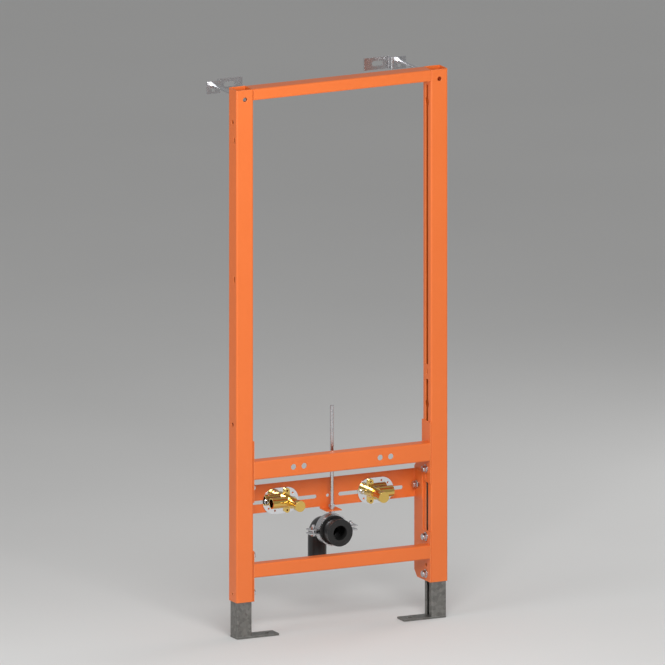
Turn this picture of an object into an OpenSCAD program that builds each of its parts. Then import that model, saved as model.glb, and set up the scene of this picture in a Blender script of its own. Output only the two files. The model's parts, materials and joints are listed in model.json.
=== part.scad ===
// Installation frame for a wall-hung bidet: sheet steel posts and rails, telescopic legs,
// threaded wall ties, two water connections and a clamped waste elbow.

/* [Frame] */
// Width over both posts
frame_w = 500; // [440:5:600]
// Height of the top edge over the floor
frame_h = 1200; // [1100:10:1300]
// Height of the posts' lower ends over the floor
leg_show = 80; // [50:5:110]
// Thickness of the orange sheet
sheet = 2; // [1.5:0.1:2.5]
// Outer radius of every bend in the sheet
bend_r = 3.5; // [3:0.1:4.5]

/* [Posts] */
// Width of a post across the front
post_w = 40; // [38:1:44]
// Depth of a post from front to back
post_d = 40; // [38:1:44]
// Width of the long slots in a post's inner face
post_slot_w = 11; // [9:0.5:13]
// Lower slot, its lower end over the floor
slot_low_from = 190; // [187:1:200]
// Lower slot, its upper end
slot_low_to = 296; // [280:1:298]
// Middle slot, its lower end
slot_mid_from = 360; // [345:1:400]
// Middle slot, its upper end
slot_mid_to = 521; // [480:1:524]
// Upper slot, its lower end
slot_top_from = 553; // [550:1:600]
// Upper slot, the metal left above it
slot_top_left = 35; // [30:1:60]
// Height of the hanging slot in the bridge between the slots
bridge_hole_z = 538; // [534:1:541]
// Height of that hanging slot from end to end
bridge_hole_h = 11; // [8:1:14]
// Width of that hanging slot
bridge_hole_w = 4.5; // [3:0.5:6]
// Diameter of the side holes for screws to a stud
side_hole_d = 9; // [7:0.5:10]
// Diameter of the hole opposite the leg screw
tip_hole_d = 5; // [4:0.5:7]
// Diameter of the tool holes opposite them
tool_hole_d = 18; // [15:0.5:20]
// Lower side hole, its height over the floor
side_hole_low_z = 467; // [440:1:500]
// Upper side hole, its distance below the top
side_hole_top = 72; // [60:1:90]
// Length of the small side slots
side_slot_h = 14; // [10:1:18]
// Width of the small side slots
side_slot_w = 5; // [4:0.5:6]
// Distance of the small side slots from the front
side_slot_y = 12; // [9:0.5:14]
// Upper small slot, its distance below the top
side_slot_top = 110; // [100:1:130]
// Lower small slot, its distance below the top
side_slot_low = 415; // [380:5:450]

/* [Rails] */
// Height of the top rail's front
top_rail_h = 25; // [20:1:30]
// Height of the fixing rail's front
fix_rail_h = 40; // [34:1:46]
// Depth of the fixing rail
fix_rail_d = 26; // [20:1:32]
// Height of the bidet's fixing bolts over the floor
fix_z = 365; // [355:1:375]
// Wide spacing of the fixing holes
fix_wide = 230; // [210:5:250]
// Narrow spacing of the fixing holes
fix_narrow = 180; // [150:5:190]
// Diameter of the fixing holes
fix_hole_d = 12.5; // [10:0.5:14]
// Height of the bottom rail's lower edge over the floor
low_rail_z = 131; // [129:1:135]
// Height of the bottom rail's front
low_rail_h = 30; // [24:1:32]
// Depth of the bottom rail
low_rail_d = 22; // [18:1:28]

/* [Side plates] */
// Depth of a side plate from front to back
gusset_d = 78; // [76:1:84]
// Height of its upper end over the floor
gusset_top = 430; // [410:1:440]
// Height where its rear edge starts to slope in
gusset_slope_z = 320; // [318:1:330]
// Height where the slope meets the post's depth
gusset_neck_z = 360; // [350:1:380]
// Chamfer of its lower rear corner
gusset_chamfer = 14; // [8:1:20]
// Depth of the window in front of the post's lower slot
gusset_window_d = 36; // [32:1:40]
// Height of the free hole near its lower end
gusset_hole_z = 115; // [112:1:118]
// Length of the upright slot that the upper screw sits in
gusset_slot_top_l = 30; // [20:1:32]
// How far that slot's middle lies below the screw
gusset_slot_top_drop = 8; // [0:1:9]
// Length of the upright slot that the lower screw sits in
gusset_slot_low_l = 23; // [16:1:24]

/* [Water plate] */
// Distance of the water plate's front from the posts' front
water_plate_y = 72; // [71:0.5:73]
// Height of its lower edge over the floor
water_plate_z = 254; // [250:1:258]
// Height of the water plate
water_plate_h = 62; // [56:1:62]
// Depth of its bent ends
water_ear_d = 38; // [36:1:42]
// Length of the slot in each bent end
water_ear_slot_l = 24; // [16:1:26]
// How far that slot's middle lies in front of its screw
water_ear_slot_shift = 4; // [0:0.5:5]
// Height of the water connections over the floor
water_z = 277; // [272:1:282]
// Height of the slots that the connections slide in
water_slot_h = 8.5; // [8.5:0.5:10]
// Distance of the slots' inner ends from the middle
water_slot_in = 26; // [20:1:40]
// Distance of the slots' outer ends from the middle
water_slot_out = 178; // [172:1:182]
// Diameter of the hole in its middle
water_mid_hole_d = 7; // [4:0.5:9]
// Width of the tab that carries the waste
tab_w = 36; // [30:1:44]
// Distance of the tab's front edge from the posts' front
tab_front_y = 39; // [36:1:42]
// Height of the tab's underside over the floor
tab_z = 249; // [248:0.5:250]

/* [Screws] */
// Diameter of screws, bolts and rods
bolt_d = 8; // [8:1:8]
// Width over the flats of their heads and nuts
bolt_af = 13; // [12:0.5:14]
// Height of a nut
nut_h = 6.5; // [5:0.5:8]
// Height of a screw head with its flange
head_h = 10; // [8:0.5:11]
// Diameter of a screw head's flange
head_flange_d = 18.5; // [16:0.5:19]
// Thickness of a screw head's flange
head_flange_t = 1.8; // [1.2:0.1:2.4]
// Height of the round crown on a screw head
head_crown_h = 1.2; // [0.8:0.1:1.6]
// Height of the chamfer on a nut
nut_chamfer = 0.8; // [0.4:0.1:1.2]
// How far a screw stands out past its nut or its thread
screw_over = 1.5; // [0.5:0.5:3]
// Length of thread that the side plate screws have in the post
screw_grip = 6; // [3:0.5:10]
// Gap between the leg screw's tip and the leg
tip_gap = 0.3; // [0.2:0.1:0.5]
// Clearance round a bolt in its hole
bolt_gap = 0.5; // [0.3:0.1:1]
// Height of the leg clamp screw over the floor
screw_leg_z = 96; // [92:1:98]
// Height of the lower side plate screw
screw_low_z = 177; // [174:1:178]
// Height of the upper side plate screw
screw_top_z = 325; // [320:1:330]
// Height of the water plate's screw
screw_ear_z = 283; // [275:1:300]
// Distance of that screw from the posts' front
screw_ear_y = 62; // [60:0.5:63]

/* [Legs] */
// Clearance between leg and post on each side
leg_gap = 0.5; // [0.4:0.1:0.8]
// Thickness of the leg's sheet
leg_sheet = 2; // [1.5:0.1:2.5]
// Length of leg inside the post
leg_inside = 220; // [150:5:260]
// Width of the slot in the leg's inner face
leg_slot_w = 12; // [11:0.5:14]
// Length of the foot plate
foot_l = 100; // [90:5:120]
// Thickness of the foot plate
foot_t = 4; // [3:0.5:6]
// Diameter of the floor screw's hole
foot_hole_d = 11; // [8:0.5:13]
// Distance of that hole from the foot plate's inner end
foot_hole_in = 22; // [18:1:28]

/* [Wall ties] */
// Distance of the rods below the frame's top
rod_drop = 21; // [19:0.5:23]
// Length of a rod
rod_l = 163; // [158:1:175]
// Distance of the left rod's front end from the posts' front
rod_left_y = 3; // [2:0.5:6]
// How much further back the right rod is set
rod_right_more = 41; // [0:1:44]
// Length of the long nut behind a post
long_nut_l = 24; // [20:1:30]
// Clearance between a rod and what it slides in
rod_gap = 0.3; // [0.2:0.05:0.5]
// Height of a wall plate
wall_plate_h = 27; // [24:1:32]
// Thickness of a wall plate
wall_plate_t = 3; // [2.5:0.5:4]
// Length of the wall plate's raised part
wall_raised_l = 31; // [28:1:36]
// Length of the part that lies on the wall
wall_flat_l = 62; // [55:1:75]
// Height of the step between them
wall_step = 15; // [13:0.5:18]
// Outer radius of the wall plate's bends
wall_bend_r = 4.5; // [4:0.5:5]
// Length of the wall slot from end to end
wall_slot_l = 26; // [20:1:30]
// Width of the wall slot
wall_slot_w = 10.5; // [8:0.5:12]
// Distance of the wall slot's middle from the plate's free end
wall_slot_in = 31; // [28:1:34]
// Length of the upright slot round the rod
rod_slot_l = 20; // [16:1:21]
// How far the rod sits above the plate's middle
rod_lift = 5; // [0:0.5:5.5]

/* [Water connections] */
// Distance of a flange's middle from the frame's middle
flange_x = 112.5; // [110:0.5:116]
// Length of an oval flange
flange_l = 84; // [78:1:90]
// Height of an oval flange
flange_h = 57; // [54:1:60]
// Thickness of an oval flange
flange_t = 3; // [2:0.5:4]
// Diameter of the small holes round a flange
flange_hole_d = 4.2; // [3:0.2:5]
// Distance of the small holes from the flange's edge
flange_hole_in = 7.5; // [6:0.5:8]
// Diameter of the bolts that clamp a flange in the plate's slot
water_bolt_d = 6; // [5:0.5:6]
// Diameter of their round heads
water_head_d = 11; // [10:0.5:12]
// Height of their round heads
water_head_h = 3.3; // [2.5:0.1:3.5]
// Width over the flats of the socket in such a head
water_key_af = 4; // [3:0.5:5]
// Depth of that socket
water_key_h = 2; // [1.5:0.1:2.4]
// Distance of these bolts from the flange's ends
water_bolt_in = 10; // [9:0.5:10.5]
// Outer diameter of the outlet's thread
outlet_d = 20.9; // [20:0.1:22]
// Bore of the outlet
outlet_bore_d = 15; // [13:0.5:16]
// Distance of the side inlet's axis behind the posts' front
inlet_y = 51.5; // [50:0.5:51.5]
// Diameter of the side inlet
inlet_d = 24; // [23:0.5:24]
// Diameter of its thread's bore
port_d = 18.6; // [17:0.1:19]
// Distance of the inlet's mouth from the outlet's axis
inlet_reach = 44; // [40:1:48]
// Depth of the thread in the side inlet
inlet_bore_l = 18; // [14:1:22]
// Bore between the side inlet's thread and the outlet
inlet_bore_d = 14; // [12:0.5:14.5]
// Diameter of the elbow's core on the flange
core_d = 25; // [24.5:0.5:25.5]
// Thickness of the elbow's two lugs
lug_t = 5; // [4:0.5:5]
// Width of these lugs
lug_d = 12; // [10:0.5:13]
// Length of the outlet's cap
cap_l = 12; // [8:0.5:16]
// Thickness of the cap's round front
cap_t = 3; // [2:0.5:5]
// Outer diameter of the cap
cap_d = 24; // [23:0.5:26]

/* [Waste] */
// Height of the waste's axis over the floor
waste_z = 207; // [205:0.5:208]
// Distance of the socket's mouth from the posts' front
socket_y = 10; // [6:1:14]
// Outer diameter of the socket
socket_d = 54; // [52:0.5:56]
// Length of the socket
socket_l = 56; // [52:1:58]
// Outer diameter of the pipe
pipe_d = 40; // [38:0.5:42]
// Wall of pipe and socket
pipe_t = 2; // [1.8:0.1:3]
// Radius of the bend's axis
elbow_r = 34; // [30:1:38]
// Distance of the upright pipe's axis from the posts' front
pipe_y = 123; // [120:1:130]
// Height of the upright pipe's lower end over the floor
pipe_end_z = 112; // [100:1:125]
// Bore of the rubber seal in the socket
seal_bore_d = 32; // [30:0.5:34]
// Length of the seal
seal_l = 14; // [10:1:18]
// Thickness of the rubber lining in the clamp
lining_t = 5; // [3:0.5:6]
// Thickness of the clamp's steel
clamp_t = 2.5; // [2:0.5:3]
// Width of the clamp's band
clamp_w = 20; // [16:1:24]
// Distance of the hanger rod from the posts' front
hanger_y = 51; // [50:0.5:53]
// Length of the clamp's ears
ear_l = 22; // [20:1:26]
// Distance of the clamp's screws from its band
ear_screw_in = 9.5; // [8:0.5:12]
// Gap between the clamp's halves
clamp_gap = 6; // [4:0.5:8]
// Diameter of the clamp's screws
clamp_bolt_d = 6; // [5:0.5:6]
// Width over the flats of their heads and nuts
clamp_bolt_af = 10; // [9:0.5:11]
// Height of their heads
clamp_head_h = 4.5; // [4:0.5:5]
// Height of their nuts
clamp_nut_h = 5; // [4:0.5:6]
// How far they stand out past their nuts
clamp_bolt_over = 3.5; // [1:0.5:5]
// Height of the round collar under the hanger rod's nut
collar_h = 5; // [3:0.5:7]
// Diameter of that collar
collar_d = 11; // [10:0.5:13]
// Width of the rim round the socket's mouth
rim_w = 5; // [3:0.5:7]
// How far that rim stands out from the socket
rim_h = 2.5; // [1.5:0.5:3.5]
// Thickness of the socket's floor round the pipe
socket_floor = 6; // [3:0.5:8]
// Height of the hanger rod's top over the floor
hanger_top = 478; // [440:1:520]

/* [Hidden] */

left = -1;
right = 1;
cut = 1;
arc_fn = 48;

outer_x = frame_w / 2;
inner_x = outer_x - post_w;
post_x = outer_x - post_w / 2;
post_y = post_d / 2;
plate_x = inner_x - sheet;
hole_d = bolt_d + 2 * bolt_gap;

leg_in_x = inner_x + sheet + leg_gap;
leg_out_x = outer_x - sheet - leg_gap;
leg_front = sheet + leg_gap;
leg_back = post_d - sheet - leg_gap;
foot_in_x = leg_out_x - foot_l;

rod_z = frame_h - rod_drop;
wall_plate_mid_z = rod_z - rod_lift;
raised_back = rod_left_y + rod_l - nut_h - screw_over;
raised_front = raised_back - wall_plate_t;
wall_y = raised_front + wall_step + wall_plate_t;

water_plate_back = water_plate_y + sheet;
flange_front = water_plate_y - flange_t;
flange_end = flange_l / 2 - flange_h / 2;
flange_hole_r = flange_h / 2 - flange_hole_in;
lug_front = flange_front - lug_t;
outlet_x = flange_x - flange_end;
core_front = inlet_y - core_d / 2 - 1;
water_bolt_x = [for (end = [-1, 1]) flange_x + end * (flange_l / 2 - water_bolt_in)];

lining_r = socket_d / 2;
clamp_in_r = lining_r + lining_t;
clamp_out_r = clamp_in_r + clamp_t;
ear_screw_x = clamp_out_r + ear_screw_in;
ear_top = waste_z + clamp_gap / 2 + clamp_t;
ear_bottom = waste_z - clamp_gap / 2 - clamp_t;
gusset_slot_low_drop = 1.5;
// A part reaches this far into another where the two are one piece of metal or plastic.
lap = 2;

orange = [0.89, 0.44, 0.16];
zinc = [0.78, 0.79, 0.8];
brass = [0.8, 0.66, 0.35];
black = [0.05, 0.05, 0.05];
grey_steel = [0.45, 0.45, 0.44];

// Placement

// The frame is drawn from its middle, the posts' front and the floor.
// The origin lies on the left post's outer face, level with the fixing holes.
module in_frame() {
    translate([outer_x, -post_y, -fix_z]) children();
}

module on_side(side) {
    in_frame() {
        if (side == left) {
            mirror([1, 0, 0]) children();
        } else {
            children();
        }
    }
}

// Extrudes an outline drawn in Y and Z along X.
module along_x(x0, x1) {
    translate([x0, 0, 0]) rotate([90, 0, 90]) linear_extrude(x1 - x0) children();
}

// Extrudes an outline drawn in X and Z along Y.
module along_y(y0, y1) {
    translate([0, y1, 0]) rotate([90, 0, 0]) linear_extrude(y1 - y0) children();
}

module hole_x(x0, x1, y, z, d) {
    translate([x0, y, z]) rotate([0, 90, 0]) cylinder(h = x1 - x0, d = d, $fn = arc_fn);
}

module rod_along_y(y0, y1, x, z, d) {
    translate([x, y0, z]) rotate([-90, 0, 0]) cylinder(h = y1 - y0, d = d, $fn = arc_fn);
}

// Outlines

module rounded_rect(x0, x1, y0, y1, r) {
    translate([x0 + r, y0]) square([x1 - x0 - 2 * r, y1 - y0]);
    translate([x0, y0 + r]) square([x1 - x0, y1 - y0 - 2 * r]);
    for (x = [x0 + r, x1 - r]) {
        for (y = [y0 + r, y1 - r]) {
            translate([x, y]) circle(r, $fn = arc_fn);
        }
    }
}

module tube_outline(x0, x1, y0, y1, r, t) {
    difference() {
        rounded_rect(x0, x1, y0, y1, r);
        rounded_rect(x0 + t, x1 - t, y0 + t, y1 - t, max(r - t, 0.5));
    }
}

module stadium(length, width) {
    square([length - width, width], center = true);
    for (x = [-1, 1]) {
        translate([x * (length - width) / 2, 0]) circle(width / 2, $fn = arc_fn);
    }
}

// A quarter of a bend round a centre, in the quadrant given by two signs.
module bend(cx, cy, sx, sy, r, t) {
    translate([cx, cy]) intersection() {
        difference() {
            circle(r, $fn = arc_fn);
            circle(r - t, $fn = arc_fn);
        }
        translate([sx > 0 ? 0 : -r, sy > 0 ? 0 : -r]) square([r, r]);
    }
}

// Screws and nuts

// A hex screw with a flange, its head on the low side of x and its shank towards high x.
module flange_screw(x, y, z, shank) {
    translate([x, y, z]) rotate([0, 90, 0]) {
        cylinder(h = shank, d = bolt_d, $fn = arc_fn);
        translate([0, 0, -head_flange_t])
            cylinder(h = head_flange_t, d = head_flange_d, $fn = arc_fn);
        translate([0, 0, head_crown_h - head_h])
            cylinder(h = head_h - head_crown_h, d = bolt_af / cos(30), $fn = 6);
        translate([0, 0, -head_h]) cylinder(h = head_crown_h, d = bolt_af - 1, $fn = arc_fn);
    }
}

// A hex nut round an axis along Z from z0 up.
module hex_nut(z0, h, bore, af = bolt_af) {
    translate([0, 0, z0]) difference() {
        intersection() {
            cylinder(h = h, d = af / cos(30), $fn = 6);
            union() {
                cylinder(h = h - nut_chamfer, d = af / cos(30) + cut, $fn = arc_fn);
                cylinder(h = h, d = af + nut_chamfer / 2, $fn = arc_fn);
            }
        }
        translate([0, 0, -cut]) cylinder(h = h + 2 * cut, d = bore, $fn = arc_fn);
    }
}

// Frame

module post(side) {
    color(orange) on_side(side) difference() {
        translate([0, 0, leg_show]) linear_extrude(frame_h - leg_show)
            tube_outline(inner_x, outer_x, 0, post_d, bend_r, sheet);
        post_slot(slot_low_from, slot_low_to);
        post_slot(slot_mid_from, slot_mid_to);
        post_slot(slot_top_from, frame_h - slot_top_left);
        translate([inner_x - cut, post_y - bridge_hole_w / 2, bridge_hole_z - bridge_hole_h / 2])
            cube([sheet + 2 * cut, bridge_hole_w, bridge_hole_h]);
        for (z = [side_hole_low_z, frame_h - side_hole_top]) {
            hole_x(outer_x - sheet - cut, outer_x + cut, post_y, z, side_hole_d);
            hole_x(inner_x - cut, inner_x + sheet + cut, post_y, z, tool_hole_d);
        }
        for (drop = [side_slot_top, side_slot_low]) {
            translate([outer_x - sheet - cut, side_slot_y, frame_h - drop]) rotate([0, 90, 0])
                linear_extrude(sheet + 2 * cut) stadium(side_slot_h, side_slot_w);
        }
        for (z = [screw_leg_z, screw_low_z, screw_top_z]) {
            hole_x(inner_x - cut, inner_x + sheet + cut, post_y, z, hole_d);
        }
        hole_x(inner_x - cut, inner_x + sheet + cut, post_y, gusset_hole_z, hole_d);
        hole_x(outer_x - sheet - cut, outer_x + cut, post_y, screw_leg_z, tip_hole_d);
        rod_along_y(-cut, post_d + cut, post_x, rod_z, hole_d + 1);
    }
}

module post_slot(z0, z1) {
    translate([inner_x - cut, post_y - post_slot_w / 2, z0])
        cube([sheet + 2 * cut, post_slot_w, z1 - z0]);
}

module top_rail() {
    color(orange) in_frame() along_x(-inner_x, inner_x)
        tube_outline(0, post_d, frame_h - top_rail_h, frame_h, bend_r, sheet);
}

module rear_open_rail(z0, h, d) {
    along_x(-plate_x, plate_x) difference() {
        tube_outline(0, 2 * d, z0, z0 + h, bend_r, sheet);
        translate([d, z0 - cut]) square([d + cut, h + 2 * cut]);
    }
}

module fixing_rail() {
    color(orange) in_frame() difference() {
        rear_open_rail(fix_z - fix_rail_h / 2, fix_rail_h, fix_rail_d);
        for (x = [-fix_wide, -fix_narrow, fix_narrow, fix_wide]) {
            rod_along_y(-cut, sheet + cut, x / 2, fix_z, fix_hole_d);
        }
    }
}

module bottom_rail() {
    color(orange) in_frame() rear_open_rail(low_rail_z, low_rail_h, low_rail_d);
}

module side_plate(side) {
    color(orange) on_side(side) difference() {
        along_x(plate_x, inner_x) polygon([
            [0, leg_show], [gusset_d - gusset_chamfer, leg_show],
            [gusset_d, leg_show + gusset_chamfer], [gusset_d, gusset_slope_z],
            [post_d + 1, gusset_neck_z], [post_d + 1, gusset_top], [0, gusset_top],
            [0, slot_low_to], [gusset_window_d, slot_low_to],
            [gusset_window_d, slot_low_from], [0, slot_low_from]]);
        for (z = [screw_leg_z, gusset_hole_z]) {
            hole_x(plate_x - cut, inner_x + cut, post_y, z, hole_d);
        }
        hole_x(plate_x - cut, inner_x + cut, screw_ear_y, screw_ear_z, hole_d);
        along_x(plate_x - cut, inner_x + cut) {
            translate([post_y, screw_top_z - gusset_slot_top_drop])
                rotate(90) stadium(gusset_slot_top_l, hole_d);
            translate([post_y, screw_low_z - gusset_slot_low_drop])
                rotate(90) stadium(gusset_slot_low_l, hole_d);
        }
    }
}

module water_plate() {
    color(orange) in_frame() {
        difference() {
            translate([0, 0, water_plate_z]) linear_extrude(water_plate_h) difference() {
                tube_outline(-plate_x, plate_x, water_plate_back - 2 * water_ear_d,
                    water_plate_back, bend_r, sheet);
                translate([-plate_x - cut, water_plate_back - 2 * water_ear_d - cut])
                    square([2 * plate_x + 2 * cut, water_ear_d + cut]);
            }
            for (side = [left, right]) {
                along_y(water_plate_y - cut, water_plate_back + cut)
                    translate([side * (water_slot_in + water_slot_out) / 2, water_z])
                        stadium(water_slot_out - water_slot_in, water_slot_h);
                along_x(side * (plate_x - sheet / 2) - sheet, side * (plate_x - sheet / 2) + sheet)
                    translate([screw_ear_y - water_ear_slot_shift, screw_ear_z])
                        stadium(water_ear_slot_l, hole_d);
            }
            rod_along_y(water_plate_y - cut, water_plate_back + cut, 0, water_z, water_mid_hole_d);
        }
        waste_tab();
    }
}

// The tab is bent forward from the plate's lower edge.
module waste_tab() {
    difference() {
        along_x(-tab_w / 2, tab_w / 2) {
            translate([tab_front_y, tab_z])
                square([water_plate_back - bend_r - tab_front_y, sheet]);
            bend(water_plate_back - bend_r, tab_z + bend_r, 1, -1, bend_r, sheet);
            translate([water_plate_y, tab_z + bend_r])
                square([sheet, water_plate_z + sheet - tab_z - bend_r]);
        }
        translate([0, hanger_y, tab_z - cut]) cylinder(h = sheet + 2 * cut, d = hole_d, $fn = arc_fn);
    }
}

module side_screws(side) {
    color(zinc) on_side(side) {
        for (z = [screw_low_z, screw_top_z]) {
            flange_screw(plate_x, post_y, z, 2 * sheet + screw_grip);
        }
        flange_screw(plate_x - sheet, screw_ear_y, screw_ear_z, 2 * sheet + nut_h + screw_over);
        translate([inner_x, screw_ear_y, screw_ear_z]) rotate([0, 90, 0])
            hex_nut(0, nut_h, bolt_d);
    }
}

module leg_screw(side) {
    color(zinc) on_side(side)
        flange_screw(plate_x, post_y, screw_leg_z, leg_out_x - leg_sheet - tip_gap - plate_x);
}

module rod_nut(side) {
    color(zinc) on_side(side) translate([post_x, post_d, rod_z]) rotate([-90, 0, 0])
        hex_nut(0, long_nut_l, bolt_d + 2 * rod_gap);
}

// Water connections

module water_flange(side) {
    color(zinc) on_side(side) difference() {
        along_y(flange_front, water_plate_y) translate([flange_x, water_z])
            stadium(flange_l, flange_h);
        for (end = [-1, 1]) {
            for (turn = [-90, -45, 45, 90]) {
                rod_along_y(flange_front - cut, water_plate_y + cut,
                    flange_x + end * (flange_end + flange_hole_r * cos(turn)),
                    water_z + flange_hole_r * sin(turn), flange_hole_d);
            }
        }
        for (x = water_bolt_x) {
            rod_along_y(flange_front - cut, water_plate_y + cut, x, water_z, water_bolt_d + cut);
        }
    }
}

// A wall elbow: a core with two lugs, a threaded outlet forward and an inlet to the side.
module water_elbow(side) {
    color(brass) on_side(side) difference() {
        union() {
            along_y(lug_front, flange_front) translate([outlet_x, water_z])
                rotate(90) stadium(2 * flange_hole_r + lug_d, lug_d);
            rod_along_y(core_front, flange_front, outlet_x, water_z, core_d);
            rod_along_y(cap_t, core_front + cut, outlet_x, water_z, outlet_d);
            hole_x(outlet_x, outlet_x + inlet_reach, inlet_y, water_z, inlet_d);
        }
        for (end = [-1, 1]) {
            rod_along_y(lug_front - cut, flange_front + cut, outlet_x,
                water_z + end * flange_hole_r, flange_hole_d);
        }
        rod_along_y(cap_t - cut, inlet_y, outlet_x, water_z, outlet_bore_d);
        hole_x(outlet_x, outlet_x + inlet_reach, inlet_y, water_z, inlet_bore_d);
        hole_x(outlet_x + inlet_reach - inlet_bore_l, outlet_x + inlet_reach + cut,
            inlet_y, water_z, port_d);
    }
}

module water_cap(side) {
    color(brass) on_side(side) difference() {
        rod_along_y(0, cap_l, outlet_x, water_z, cap_d);
        rod_along_y(cap_t, cap_l + cut, outlet_x, water_z, outlet_d);
    }
}

module water_bolts(side) {
    color(zinc) on_side(side) for (x = water_bolt_x) {
        translate([x, 0, water_z]) rotate([-90, 0, 0]) {
            difference() {
                translate([0, 0, flange_front - water_head_h])
                    cylinder(h = water_head_h, d = water_head_d, $fn = arc_fn);
                translate([0, 0, flange_front - water_head_h - cut])
                    cylinder(h = water_key_h + cut, d = water_key_af / cos(30), $fn = 6);
            }
            translate([0, 0, flange_front - cut])
                cylinder(h = cut + flange_t + sheet + nut_h + screw_over, d = water_bolt_d,
                    $fn = arc_fn);
            hex_nut(water_plate_back, nut_h, water_bolt_d);
        }
    }
}

// Waste

module waste_elbow() {
    color(black) in_frame() difference() {
        union() {
            rod_along_y(socket_y, socket_y + socket_l, 0, waste_z, socket_d);
            rod_along_y(socket_y, socket_y + rim_w, 0, waste_z, socket_d + 2 * rim_h);
            elbow_core(pipe_d);
        }
        rod_along_y(socket_y - cut, socket_y + socket_l - socket_floor, 0, waste_z,
            socket_d - 2 * pipe_t);
        elbow_core(pipe_d - 2 * pipe_t, cut);
    }
}

// The bent pipe, or its bore when it is drawn longer at its lower end.
module elbow_core(d, more = 0) {
    rod_along_y(socket_y + socket_l - socket_floor - lap, pipe_y - elbow_r, 0, waste_z, d);
    translate([0, pipe_y - elbow_r, waste_z - elbow_r]) rotate([0, 90, 0]) rotate([0, 0, 90])
        rotate_extrude(angle = 90, $fn = arc_fn) translate([elbow_r, 0]) circle(d / 2, $fn = arc_fn);
    translate([0, pipe_y, pipe_end_z - more])
        cylinder(h = waste_z - elbow_r - pipe_end_z + more, d = d, $fn = arc_fn);
}

module waste_seal() {
    color(black) in_frame() difference() {
        rod_along_y(socket_y, socket_y + seal_l, 0, waste_z, socket_d - 2 * pipe_t);
        rod_along_y(socket_y - cut, socket_y + seal_l + cut, 0, waste_z, seal_bore_d);
    }
}

module clamp_lining() {
    color(black) in_frame() difference() {
        rod_along_y(hanger_y - clamp_w / 2, hanger_y + clamp_w / 2, 0, waste_z, 2 * clamp_in_r);
        rod_along_y(hanger_y - clamp_w, hanger_y + clamp_w, 0, waste_z, 2 * lining_r);
    }
}

module clamp_half(up) {
    ear_out = clamp_out_r + ear_l;
    difference() {
        union() {
            intersection() {
                rod_along_y(hanger_y - clamp_w / 2, hanger_y + clamp_w / 2, 0, waste_z,
                    2 * clamp_out_r);
                translate([-clamp_out_r - cut, 0, waste_z + (up > 0 ? clamp_gap / 2
                    : -clamp_gap / 2 - clamp_out_r)])
                    cube([2 * clamp_out_r + 2 * cut, 2 * hanger_y, clamp_out_r]);
            }
            translate([-ear_out, hanger_y - clamp_w / 2, waste_z + (up > 0 ? clamp_gap / 2
                : -clamp_gap / 2 - clamp_t)])
                cube([2 * ear_out, clamp_w, clamp_t]);
        }
        rod_along_y(hanger_y - clamp_w, hanger_y + clamp_w, 0, waste_z, 2 * clamp_in_r);
        for (x = [-1, 1]) {
            translate([x * ear_screw_x, hanger_y, waste_z - 2 * clamp_gap])
                cylinder(h = 4 * clamp_gap, d = clamp_bolt_d + cut, $fn = arc_fn);
        }
    }
}

// The boss is a hex nut welded on the band, which the hanger rod screws into.
module clamp_upper() {
    weld_sink = clamp_out_r - sqrt(pow(clamp_out_r, 2) - pow(bolt_af / 2, 2));
    color(zinc) in_frame() {
        clamp_half(1);
        translate([0, hanger_y, 0]) difference() {
            translate([0, 0, waste_z + clamp_out_r - weld_sink])
                cylinder(h = tab_z - waste_z - clamp_out_r + weld_sink, d = bolt_af / cos(30),
                    $fn = 6);
            translate([0, 0, waste_z + clamp_out_r])
                cylinder(h = tab_z, d = bolt_d, $fn = arc_fn);
        }
    }
}

module clamp_lower() {
    color(zinc) in_frame() clamp_half(-1);
}

module clamp_screws() {
    color(zinc) in_frame() for (x = [-1, 1]) {
        translate([x * ear_screw_x, hanger_y, 0]) {
            translate([0, 0, ear_bottom - clamp_head_h])
                cylinder(h = clamp_head_h, d = clamp_bolt_af / cos(30), $fn = 6);
            translate([0, 0, ear_bottom])
                cylinder(h = ear_top - ear_bottom + clamp_nut_h + clamp_bolt_over,
                    d = clamp_bolt_d, $fn = arc_fn);
            hex_nut(ear_top, clamp_nut_h, clamp_bolt_d, clamp_bolt_af);
        }
    }
}

module hanger_rod() {
    color(zinc) in_frame() translate([0, hanger_y, waste_z + clamp_out_r])
        cylinder(h = hanger_top - waste_z - clamp_out_r, d = bolt_d, $fn = arc_fn);
}

module hanger_nut() {
    color(zinc) in_frame() translate([0, hanger_y, tab_z + sheet]) {
        difference() {
            cylinder(h = collar_h, d = collar_d, $fn = arc_fn);
            translate([0, 0, -cut]) cylinder(h = collar_h + cut, d = bolt_d, $fn = arc_fn);
        }
        hex_nut(collar_h, nut_h, bolt_d);
    }
}

// Legs

module leg(side) {
    color(grey_steel) on_side(side) difference() {
        translate([0, 0, foot_t]) linear_extrude(leg_show + leg_inside - foot_t)
            tube_outline(leg_in_x, leg_out_x, leg_front, leg_back, bend_r - 0.5, leg_sheet);
        translate([leg_in_x - cut, post_y - leg_slot_w / 2, foot_t - cut])
            cube([leg_sheet + 2 * cut, leg_slot_w, leg_show + leg_inside + 2 * cut]);
    }
}

module foot(side) {
    color(grey_steel) on_side(side) difference() {
        linear_extrude(foot_t) rounded_rect(foot_in_x, leg_out_x, leg_front, leg_back, 2);
        translate([foot_in_x + foot_hole_in, post_y, -cut])
            cylinder(h = foot_t + 2 * cut, d = foot_hole_d, $fn = arc_fn);
    }
}

// Wall ties

// The right tie is set further back than the left one.
module on_tie(side) {
    on_side(side) translate([0, side == right ? rod_right_more : 0, 0]) children();
}

module wall_rod(side) {
    color(zinc) on_tie(side)
        rod_along_y(rod_left_y, rod_left_y + rod_l, post_x, rod_z, bolt_d);
}

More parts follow.
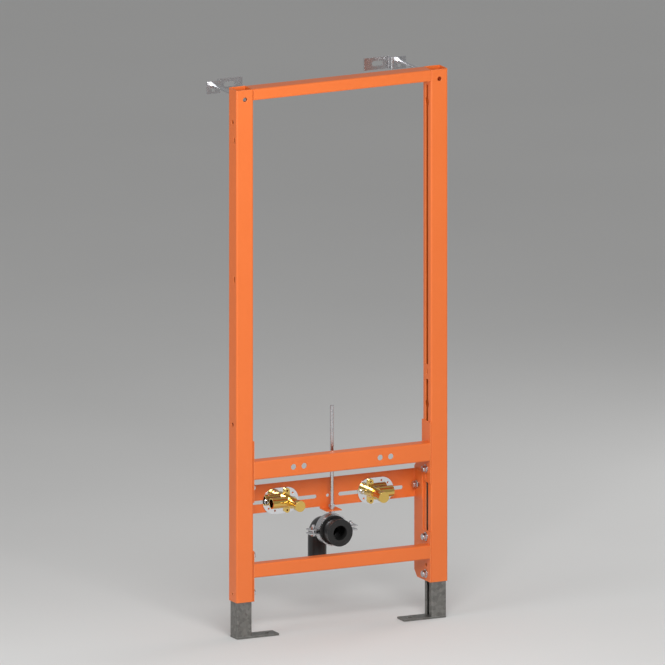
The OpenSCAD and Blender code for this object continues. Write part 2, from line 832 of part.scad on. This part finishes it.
module wall_plate(side) {
    raised_out = post_x + wall_raised_l / 2;
    raised_in = raised_out - wall_raised_l;
    riser_in = raised_in - wall_plate_t;
    free_end = riser_in - wall_flat_l + wall_bend_r;
    r = wall_bend_r;
    color(zinc) on_tie(side) difference() {
        translate([0, 0, wall_plate_mid_z - wall_plate_h / 2]) linear_extrude(wall_plate_h) {
            translate([riser_in + r, raised_front])
                square([raised_out - riser_in - r, wall_plate_t]);
            bend(riser_in + r, raised_front + r, -1, -1, r, wall_plate_t);
            translate([riser_in, raised_front + r])
                square([wall_plate_t, wall_y - raised_front - 2 * r]);
            bend(raised_in - r, wall_y - r, 1, 1, r, wall_plate_t);
            translate([free_end, wall_y - wall_plate_t])
                square([raised_in - r - free_end, wall_plate_t]);
        }
        along_y(wall_y - wall_plate_t - cut, wall_y + cut)
            translate([free_end + wall_slot_in, wall_plate_mid_z]) stadium(wall_slot_l, wall_slot_w);
        along_y(raised_front - cut, raised_back + cut)
            translate([post_x, wall_plate_mid_z]) rotate(90) stadium(rod_slot_l, hole_d);
    }
}

module wall_nuts(side) {
    color(zinc) on_tie(side) {
        translate([post_x, raised_front - nut_h, rod_z]) rotate([-90, 0, 0])
            hex_nut(0, nut_h, bolt_d);
        translate([post_x, raised_back, rod_z]) rotate([-90, 0, 0]) hex_nut(0, nut_h, bolt_d);
    }
}

post(left);  // left_post
post(right);  // right_post
top_rail();
fixing_rail();
bottom_rail();
side_plate(left);  // left_side_plate
side_plate(right);  // right_side_plate
water_plate();
side_screws(left);  // left_side_screws
side_screws(right);  // right_side_screws
leg_screw(left);  // left_leg_screw
leg_screw(right);  // right_leg_screw
rod_nut(left);  // left_rod_nut
rod_nut(right);  // right_rod_nut
water_flange(left);  // left_water_flange
water_flange(right);  // right_water_flange
water_elbow(left);  // left_water_elbow
water_elbow(right);  // right_water_elbow
water_cap(left);  // left_water_cap
water_cap(right);  // right_water_cap
water_bolts(left);  // left_water_bolts
water_bolts(right);  // right_water_bolts
waste_elbow();
waste_seal();
clamp_lining();
clamp_upper();
clamp_lower();
clamp_screws();
hanger_rod();
hanger_nut();
leg(left);  // left_leg
leg(right);  // right_leg
foot(left);  // left_foot
foot(right);  // right_foot
wall_rod(left);  // left_wall_rod
wall_rod(right);  // right_wall_rod
wall_plate(left);  // left_wall_plate
wall_plate(right);  // right_wall_plate
wall_nuts(left);  // left_wall_nuts
wall_nuts(right);  // right_wall_nuts
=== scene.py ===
import json
import math

import bmesh
import bpy
from mathutils import Matrix, Vector

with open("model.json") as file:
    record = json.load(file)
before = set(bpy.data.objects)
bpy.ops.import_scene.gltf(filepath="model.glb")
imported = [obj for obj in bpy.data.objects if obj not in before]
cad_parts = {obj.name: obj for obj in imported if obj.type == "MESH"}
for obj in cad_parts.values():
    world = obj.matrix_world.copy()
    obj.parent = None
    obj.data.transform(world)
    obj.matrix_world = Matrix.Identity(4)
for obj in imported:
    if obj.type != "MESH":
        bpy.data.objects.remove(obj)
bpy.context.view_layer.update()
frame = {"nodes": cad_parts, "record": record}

nodes = frame["nodes"]
bpy.ops.object.select_all(action="DESELECT")

FLOOR = -0.365            # the floor, as the legs stand at rest
POST_FRONT = -0.020       # the posts' front faces
MIDDLE = 0.250            # halfway between the posts


def place(x, y, z):
    """A point given in millimetres from the middle of the posts' fronts at floor level."""
    return Vector((MIDDLE + x / 1000, POST_FRONT + y / 1000, FLOOR + z / 1000))


# Camera

CAMERA_TURN = -25.8
CAMERA_RISE = 12.9


def set_camera():
    """A parallel view from the left of the front and a little above."""
    turn, rise = math.radians(CAMERA_TURN), math.radians(CAMERA_RISE)
    back = Vector((math.sin(turn) * math.cos(rise), -math.cos(turn) * math.cos(rise), math.sin(rise)))
    data = bpy.data.cameras.new("camera")
    data.type = "ORTHO"
    data.ortho_scale = 1.417
    data.clip_end = 50
    camera = bpy.data.objects.new("camera", data)
    camera.location = place(-13.5, 20, 644.7) + back * 5
    camera.rotation_euler = (-back).to_track_quat("-Z", "Y").to_euler()
    bpy.context.scene.collection.objects.link(camera)
    bpy.context.scene.camera = camera


set_camera()


# Node helpers

def new_group(name, takes, gives):
    """An empty shader node group with named inputs and outputs."""
    group = bpy.data.node_groups.new(name, "ShaderNodeTree")
    for label, kind, value in takes:
        socket = group.interface.new_socket(label, in_out="INPUT", socket_type="NodeSocket" + kind)
        socket.default_value = value
    for label, kind in gives:
        group.interface.new_socket(label, in_out="OUTPUT", socket_type="NodeSocket" + kind)
    return group, group.nodes.new("NodeGroupInput").outputs, group.nodes.new("NodeGroupOutput").inputs


def node(tree, kind, links=None, **settings):
    """Adds a node, sets its plain values and links its inputs."""
    made = tree.nodes.new("ShaderNode" + kind)
    for key, value in settings.items():
        setattr(made, key, value)
    for key, value in (links or {}).items():
        if isinstance(value, bpy.types.NodeSocket):
            tree.links.new(value, made.inputs[key])
        else:
            made.inputs[key].default_value = value
    return made


def calc(tree, operation, first, second=0.5, third=0.5, clamp=False):
    """One Math node's result."""
    return node(tree, "Math", {0: first, 1: second, 2: third}, operation=operation,
                use_clamp=clamp).outputs[0]


def blend_colour(tree, amount, low, high, kind="MIX"):
    """One colour Mix node's result."""
    made = node(tree, "Mix", None, data_type="RGBA", blend_type=kind)
    for index, value in ((0, amount), (6, low), (7, high)):
        if isinstance(value, bpy.types.NodeSocket):
            tree.links.new(value, made.inputs[index])
        else:
            made.inputs[index].default_value = value
    return made.outputs[2]


# Effects that several finishes share

def make_edge_group():
    """Finds the edges of a piece: a mask that is 1 on them, and a normal that rounds them."""
    group, takes, gives = new_group(
        "soft_edges", [("Radius", "Float", 0.001), ("Gain", "Float", 4.0)],
        [("Mask", "Float"), ("Normal", "Vector")])
    bevel = node(group, "Bevel", {"Radius": takes["Radius"]}, samples=6)
    true = node(group, "NewGeometry").outputs["Normal"]
    dot = node(group, "VectorMath", {0: bevel.outputs[0], 1: true}, operation="DOT_PRODUCT")
    off = calc(group, "SUBTRACT", 1.0, dot.outputs["Value"], clamp=True)
    group.links.new(calc(group, "MULTIPLY", off, takes["Gain"], clamp=True), gives["Mask"])
    group.links.new(bevel.outputs[0], gives["Normal"])
    return group


def make_grain_group():
    """Fine dents: orange peel in paint, cast skin in brass, or the grain of a mould."""
    group, takes, gives = new_group(
        "fine_grain",
        [("Vector", "Vector", (0, 0, 0)), ("Normal", "Vector", (0, 0, 0)), ("Size", "Float", 0.002),
         ("Depth", "Float", 0.00002), ("Roughness", "Float", 0.4), ("Spread", "Float", 0.05)],
        [("Normal", "Vector"), ("Roughness", "Float"), ("Height", "Float")])
    scale = calc(group, "DIVIDE", 1.0, takes["Size"])
    noise = node(group, "TexNoise", {"Vector": takes["Vector"], "Scale": scale, "Detail": 2.0})
    bump = node(group, "Bump", {"Height": noise.outputs[0], "Distance": takes["Depth"],
                                "Normal": takes["Normal"], "Strength": 1.0})
    wide = node(group, "TexNoise", {"Vector": takes["Vector"], "Scale": calc(group, "MULTIPLY", scale, 0.04),
                                    "Detail": 3.0})
    shift = calc(group, "SUBTRACT", wide.outputs[0], 0.5)
    rough = calc(group, "MULTIPLY_ADD", shift, takes["Spread"], takes["Roughness"])
    group.links.new(bump.outputs[0], gives["Normal"])
    group.links.new(rough, gives["Roughness"])
    group.links.new(noise.outputs[0], gives["Height"])
    return group


def make_tone_group():
    """Slow drift of a colour over a piece, and a painted highlight laid on where the edge mask is 1."""
    group, takes, gives = new_group(
        "tone_drift",
        [("Vector", "Vector", (0, 0, 0)), ("Colour", "Color", (0.5, 0.5, 0.5, 1)),
         ("Darker", "Color", (0.4, 0.4, 0.4, 1)), ("Edge Colour", "Color", (0.6, 0.6, 0.6, 1)),
         ("Edge", "Float", 0.0), ("Size", "Float", 0.08), ("Amount", "Float", 0.3)],
        [("Colour", "Color")])
    noise = node(group, "TexNoise", {"Vector": takes["Vector"], "Detail": 4.0,
                                     "Scale": calc(group, "DIVIDE", 1.0, takes["Size"])})
    amount = calc(group, "MULTIPLY", noise.outputs[0], takes["Amount"], clamp=True)
    drift = blend_colour(group, amount, takes["Colour"], takes["Darker"])
    # Where the edge mask is 1 the colour is lifted to the edge colour, a painted highlight along the edges.
    group.links.new(blend_colour(group, takes["Edge"], drift, takes["Edge Colour"]), gives["Colour"])
    return group


def make_streak_group():
    """Fine lines along one direction, as rolling, drawing or turning leaves them."""
    group, takes, gives = new_group(
        "drawn_lines",
        [("Vector", "Vector", (0, 0, 0)), ("Stretch", "Vector", (900, 900, 20)),
         ("Roughness", "Float", 0.3), ("Spread", "Float", 0.15)],
        [("Streak", "Float"), ("Roughness", "Float")])
    long = node(group, "VectorMath", {0: takes["Vector"], 1: takes["Stretch"]}, operation="MULTIPLY")
    noise = node(group, "TexNoise", {"Vector": long.outputs[0], "Scale": 1.0, "Detail": 3.0})
    shift = calc(group, "SUBTRACT", noise.outputs[0], 0.5)
    group.links.new(noise.outputs[0], gives["Streak"])
    group.links.new(calc(group, "MULTIPLY_ADD", shift, takes["Spread"], takes["Roughness"]),
                    gives["Roughness"])
    return group


def make_spangle_group():
    """The flat crystals of hot-dip zinc, each a little lighter or darker than the next."""
    group, takes, gives = new_group(
        "zinc_crystals",
        [("Vector", "Vector", (0, 0, 0)), ("Size", "Float", 0.008)],
        [("Shade", "Float"), ("Height", "Float")])
    scale = calc(group, "DIVIDE", 1.0, takes["Size"])
    bend = node(group, "TexNoise", {"Vector": takes["Vector"], "Scale": scale, "Detail": 2.0})
    moved = node(group, "VectorMath", {0: bend.outputs["Color"], 1: (0.004, 0.004, 0.004),
                                       2: takes["Vector"]}, operation="MULTIPLY_ADD")
    cell = node(group, "TexVoronoi", {"Vector": moved.outputs[0], "Scale": scale})
    shade = node(group, "SeparateColor", {0: cell.outputs["Color"]})
    group.links.new(shade.outputs[0], gives["Shade"])
    group.links.new(cell.outputs["Distance"], gives["Height"])
    return group


SOFT_EDGES = make_edge_group()
FINE_GRAIN = make_grain_group()
TONE_DRIFT = make_tone_group()
DRAWN_LINES = make_streak_group()
ZINC_CRYSTALS = make_spangle_group()


def use(tree, group, **links):
    """Places a node group and gives its inputs."""
    made = tree.nodes.new("ShaderNodeGroup")
    made.node_tree = group
    for key, value in links.items():
        key = key.replace("_", " ")
        if isinstance(value, bpy.types.NodeSocket):
            tree.links.new(value, made.inputs[key])
        else:
            made.inputs[key].default_value = value
    return made.outputs


def new_material(name, **plain):
    """A material with one Principled shader: its tree, its shader's inputs and its object coordinates."""
    material = bpy.data.materials.new(name)
    material.use_nodes = True
    tree = material.node_tree
    shader = tree.nodes["Principled BSDF"].inputs
    for key, value in plain.items():
        shader[key.replace("_", " ")].default_value = value
    where = tree.nodes.new("ShaderNodeTexCoord").outputs["Object"]
    return material, tree, shader, where


def rgb(red, green, blue):
    """A colour as seen on a screen, from 0 to 255, as the shader wants it."""
    def line(c):
        c /= 255
        return c / 12.92 if c < 0.04045 else ((c + 0.055) / 1.055) ** 2.4
    return (line(red), line(green), line(blue), 1)


# Finishes

def orange_coat():
    """Satin orange powder coat with a fine orange peel, and a painted highlight along bent edges."""
    material, tree, shader, where = new_material("orange_powder_coat", Specular_IOR_Level=0.45,
                                                 Coat_Weight=0.15, Coat_Roughness=0.25)
    edges = use(tree, SOFT_EDGES, Radius=0.0012, Gain=3.0)
    grain = use(tree, FINE_GRAIN, Vector=where, Normal=edges["Normal"], Size=0.0016, Depth=0.00004,
                Roughness=0.42, Spread=0.12)
    # The lighter edge colour is a painted highlight along the bent edges, not a thinner coat.
    tone = use(tree, TONE_DRIFT, Vector=where, Colour=rgb(232, 116, 50), Darker=rgb(214, 100, 40),
               Edge_Colour=rgb(250, 158, 96), Edge=edges["Mask"], Size=0.12, Amount=0.5)
    tree.links.new(tone["Colour"], shader["Base Color"])
    tree.links.new(grain["Normal"], shader["Normal"])
    tree.links.new(grain["Roughness"], shader["Roughness"])
    return material


def plated(name, colour, darker, highlight_colour, roughness, spread, stretch, grain_size=0.0012, depth=0.00001):
    """Plated or polished metal with drawn lines and faint cloudiness."""
    material, tree, shader, where = new_material(name, Metallic=1.0)
    edges = use(tree, SOFT_EDGES, Radius=0.0004, Gain=2.0)
    lines = use(tree, DRAWN_LINES, Vector=where, Stretch=stretch, Roughness=roughness, Spread=spread)
    grain = use(tree, FINE_GRAIN, Vector=where, Normal=edges["Normal"], Size=grain_size, Depth=depth,
                Roughness=lines["Roughness"], Spread=spread)
    # The edge colour is a painted highlight along the piece's edges.
    tone = use(tree, TONE_DRIFT, Vector=where, Colour=colour, Darker=darker, Edge_Colour=highlight_colour,
               Edge=edges["Mask"], Size=0.012, Amount=0.6)
    tree.links.new(tone["Colour"], shader["Base Color"])
    tree.links.new(grain["Normal"], shader["Normal"])
    tree.links.new(grain["Roughness"], shader["Roughness"])
    return material


def galvanised():
    """Dull galvanised sheet with small crystals and rolling lines."""
    material, tree, shader, where = new_material("galvanised_sheet", Metallic=0.85)
    edges = use(tree, SOFT_EDGES, Radius=0.0008, Gain=3.0)
    crystals = use(tree, ZINC_CRYSTALS, Vector=where, Size=0.006)
    lines = use(tree, DRAWN_LINES, Vector=where, Stretch=(700, 700, 12), Roughness=0.46, Spread=0.2)
    grain = use(tree, FINE_GRAIN, Vector=where, Normal=edges["Normal"], Size=0.002, Depth=0.00002,
                Roughness=lines["Roughness"], Spread=0.1)
    lit = blend_colour(tree, crystals["Shade"], rgb(120, 119, 116), rgb(150, 149, 145))
    # The light edge colour is a painted highlight along the legs' and plates' edges.
    tone = use(tree, TONE_DRIFT, Vector=where, Colour=lit, Darker=rgb(105, 103, 100),
               Edge_Colour=rgb(190, 190, 188), Edge=edges["Mask"], Size=0.05, Amount=0.5)
    tree.links.new(tone["Colour"], shader["Base Color"])
    tree.links.new(grain["Normal"], shader["Normal"])
    tree.links.new(grain["Roughness"], shader["Roughness"])
    return material


def moulded(name, colour, darker, highlight_colour, roughness, depth, size):
    """Moulded plastic or rubber with a fine mould grain."""
    material, tree, shader, where = new_material(name, Specular_IOR_Level=0.5)
    edges = use(tree, SOFT_EDGES, Radius=0.0012, Gain=2.0)
    grain = use(tree, FINE_GRAIN, Vector=where, Normal=edges["Normal"], Size=size, Depth=depth,
                Roughness=roughness, Spread=0.12)
    # The lighter edge colour is a painted highlight along the moulding's edges.
    tone = use(tree, TONE_DRIFT, Vector=where, Colour=colour, Darker=darker, Edge_Colour=highlight_colour,
               Edge=edges["Mask"], Size=0.03, Amount=0.6)
    tree.links.new(tone["Colour"], shader["Base Color"])
    tree.links.new(grain["Normal"], shader["Normal"])
    tree.links.new(grain["Roughness"], shader["Roughness"])
    return material


# In each metal and moulded finish the third colour is a painted highlight for the edges.
FINISHES = {
    "orange_paint": orange_coat(),
    "bright_zinc": plated("bright_zinc", rgb(214, 214, 216), rgb(190, 192, 198), rgb(240, 240, 240),
                          0.26, 0.12, (300, 300, 300)),
    "galvanised_steel": galvanised(),
    "chrome": plated("mirror_chrome", rgb(232, 233, 236), rgb(222, 224, 228), rgb(245, 245, 245),
                     0.06, 0.04, (200, 200, 200), 0.003, 0.000002),
    "brass": plated("polished_brass", rgb(232, 198, 112), rgb(222, 180, 92), rgb(250, 226, 160),
                    0.14, 0.08, (200, 200, 200), 0.003, 0.000006),
    "black_plastic": moulded("black_moulded_plastic", rgb(22, 22, 23), rgb(16, 16, 17),
                             rgb(48, 48, 50), 0.32, 0.000012, 0.0009),
    "black_rubber": moulded("black_rubber", rgb(24, 24, 24), rgb(18, 18, 18), rgb(40, 40, 40),
                            0.62, 0.00003, 0.0012),
}

for part in frame["record"]["subparts"]:
    for slot in nodes[part["node"]].material_slots:
        slot.material = FINISHES[part["material_slot"]]


# Floor and light

def make_stage():
    """A plain pale floor that keeps the object's shadow."""
    bpy.ops.mesh.primitive_circle_add(vertices=96, radius=30, fill_type="NGON",
                                      location=(MIDDLE, 0, FLOOR - 0.0004))
    floor = bpy.context.active_object
    floor.name = "floor"
    material, tree, shader, where = new_material("pale_floor", Roughness=0.9)
    cloud = node(tree, "TexNoise", {"Vector": where, "Scale": 1.5, "Detail": 2.0})
    tone = blend_colour(tree, cloud.outputs[0], rgb(214, 214, 213), rgb(220, 220, 219))
    tree.links.new(tone, shader["Base Color"])
    floor.data.materials.append(material)
    bpy.ops.object.select_all(action="DESELECT")


def add_lamp(name, power, size, at, aim, colour=(1, 1, 1)):
    """A soft square lamp that faces a point."""
    data = bpy.data.lights.new(name, "AREA")
    data.shape = "RECTANGLE"
    data.size, data.size_y = size
    data.energy = power
    data.color = colour
    lamp = bpy.data.objects.new(name, data)
    lamp.location = at
    lamp.rotation_euler = (Vector(aim) - Vector(at)).to_track_quat("-Z", "Y").to_euler()
    bpy.context.scene.collection.objects.link(lamp)


def make_world():
    """Even pale surroundings."""
    world = bpy.data.worlds.new("pale_room")
    world.use_nodes = True
    world.node_tree.nodes["Background"].inputs["Color"].default_value = (0.8, 0.8, 0.8, 1)
    world.node_tree.nodes["Background"].inputs["Strength"].default_value = 0.45
    bpy.context.scene.world = world


make_stage()
make_world()
add_lamp("front_lamp", 55, (1.6, 1.2), (-0.5, -2.2, 1.5), (0.25, 0.0, 0.4))
add_lamp("left_lamp", 18, (1.2, 1.6), (-2.4, -0.6, 0.9), (0.2, 0.05, 0.25))
add_lamp("right_lamp", 14, (1.2, 1.6), (2.4, 0.6, 1.1), (0.3, 0.05, 0.3))

bpy.context.scene.view_settings.view_transform = "Standard"
